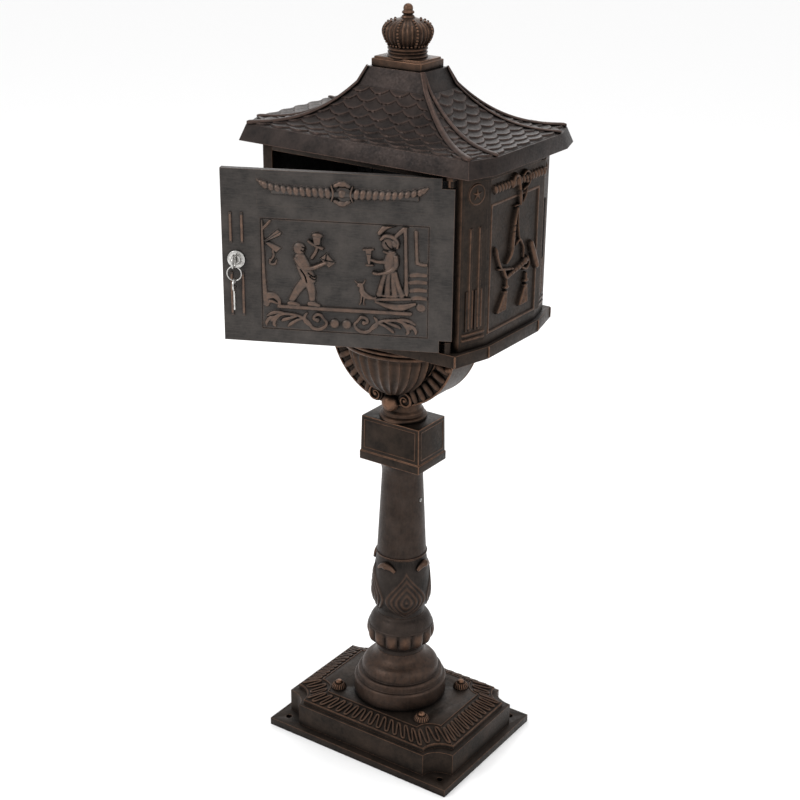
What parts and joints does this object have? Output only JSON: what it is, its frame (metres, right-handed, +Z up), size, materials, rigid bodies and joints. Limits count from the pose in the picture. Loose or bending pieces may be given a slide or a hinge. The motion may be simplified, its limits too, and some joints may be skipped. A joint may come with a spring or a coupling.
{
  "type": "pedestal parcel drop box",
  "caption": "Cast pedestal drop box: round column on a rectangular base, octagonal box with a lockable side-hinged door, lifting pagoda roof and crown finial.",
  "frame": {"origin": "on the ground, on the axis of the column, at the middle of the underside of the base's centre boss", "axes": "+Z up, -Y out of the front of the box, the side with the door, and +X to the side that carries the door hinge"},
  "size_m": [0.406, 0.4081, 1.147],
  "materials": {
    "bronze_casting": "cast aluminium with an antique bronze coat, near-black brown with copper edges",
    "door_casting": "cast aluminium with a mottled grey-brown antique coat and copper reliefs",
    "inner_plate": "matt black",
    "steel_fastener": "zinc-plated steel",
    "lock_chrome": "nickel-plated, slightly worn"
  },
  "bodies": {
    "pedestal_box": {"base_plate": "bronze_casting", "base_rosette_1": "bronze_casting", "base_rosette_2": "bronze_casting", "base_rosette_3": "bronze_casting", "base_rosette_4": "bronze_casting", "column_foot": "bronze_casting", "bead_collar": "bronze_casting", "leaf_vase": "bronze_casting", "column_shaft": "bronze_casting", "capital_set_screw": "steel_fastener", "square_capital": "bronze_casting", "tie_rod": "steel_fastener", "tie_rod_washer": "steel_fastener", "tie_rod_nut": "steel_fastener", "support_bracket": "bronze_casting", "bottom_tray": "bronze_casting", "tray_bolt_1": "steel_fastener", "tray_bolt_2": "steel_fastener", "tray_bolt_3": "steel_fastener", "tray_bolt_4": "steel_fastener", "left_side_panel": "bronze_casting", "right_side_panel": "bronze_casting", "back_panel": "bronze_casting", "front_header": "bronze_casting", "slot_plate": "inner_plate", "body_screw_1": "steel_fastener", "body_screw_2": "steel_fastener", "body_screw_3": "steel_fastener", "body_screw_4": "steel_fastener", "slot_plate_screw_1": "steel_fastener", "slot_plate_screw_2": "steel_fastener", "slot_plate_screw_3": "steel_fastener", "slot_plate_screw_4": "steel_fastener", "header_screw_left": "steel_fastener", "header_screw_right": "steel_fastener", "back_screw_low_left": "steel_fastener", "back_screw_low_right": "steel_fastener", "back_screw_high_left": "steel_fastener", "back_screw_high_right": "steel_fastener", "roof_hinge_pin_left": "steel_fastener", "roof_hinge_pin_right": "steel_fastener", "door_hinge_pin_bottom": "steel_fastener", "door_hinge_pin_top": "steel_fastener"},
    "roof": {"roof_lid": "bronze_casting", "finial_plate": "bronze_casting", "crown_finial": "bronze_casting", "finial_stud": "steel_fastener", "finial_nut": "steel_fastener"},
    "door": {"door": "door_casting", "lock_barrel": "lock_chrome", "lock_nut": "steel_fastener"},
    "lock_core": {"lock_plug": "lock_chrome", "lock_cam": "steel_fastener", "lock_cam_screw": "steel_fastener", "key": "lock_chrome"},
    "key_ring": {"key_ring": "lock_chrome"},
    "spare_key": {"spare_key": "lock_chrome"}
  },
  "joints": [
    {"name": "door_hinge", "type": "hinge", "parent": "pedestal_box", "child": "door", "pos_m": [0.1525, -0.1215, 0.83], "axis": [0, 0, 1], "range_deg": [-25.5, 94.5]},
    {"name": "roof_hinge", "type": "hinge", "parent": "pedestal_box", "child": "roof", "pos_m": [0, 0.128, 0.9545], "axis": [-1, 0, 0], "range_deg": [0, 70]},
    {"name": "lock_turn", "type": "hinge", "parent": "door", "child": "lock_core", "pos_m": [-0.10609, -0.24484, 0.83], "axis": [-0.4305, 0.9026, 0], "range_deg": [0, 90]},
    {"name": "key_ring_roll", "type": "hinge", "parent": "lock_core", "child": "key_ring", "pos_m": [-0.09834, -0.26109, 0.8212], "axis": [-0.4305, 0.9026, 0], "range_deg": [-90, 0]},
    {"name": "spare_key_swing", "type": "hinge", "parent": "key_ring", "child": "spare_key", "pos_m": [-0.09834, -0.26109, 0.8038], "axis": [0.9026, 0.4305, 0], "range_deg": [-70, 10]}
  ],
  "couplings": [
    {"joint": "key_ring_roll", "follows": "lock_turn", "ratio": -1}
  ]
}
